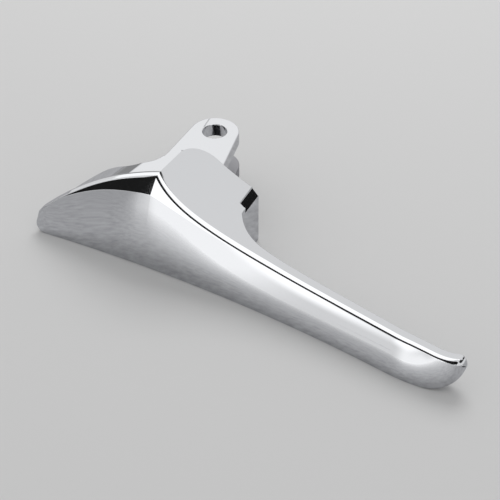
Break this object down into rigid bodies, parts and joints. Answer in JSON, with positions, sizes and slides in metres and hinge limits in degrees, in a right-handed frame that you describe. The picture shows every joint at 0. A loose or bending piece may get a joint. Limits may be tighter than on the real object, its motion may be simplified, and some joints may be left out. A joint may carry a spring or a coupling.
{
  "type": "car interior door handle",
  "caption": "Chrome-plated interior door handle lever with a tapering pull bar, a peaked wing and a two-ear pivot clevis.",
  "frame": {"origin": "on the pivot pin's axis, midway between the two ears", "axes": "+Z along the pivot axis towards the peaked edge, +X along the lever to its free tip, -Y out of the show face"},
  "size_m": [0.1139, 0.0442, 0.0234],
  "materials": {
    "chrome": "polished"
  },
  "bodies": {
    "root": {"handle_lever": "chrome"}
  },
  "joints": []
}
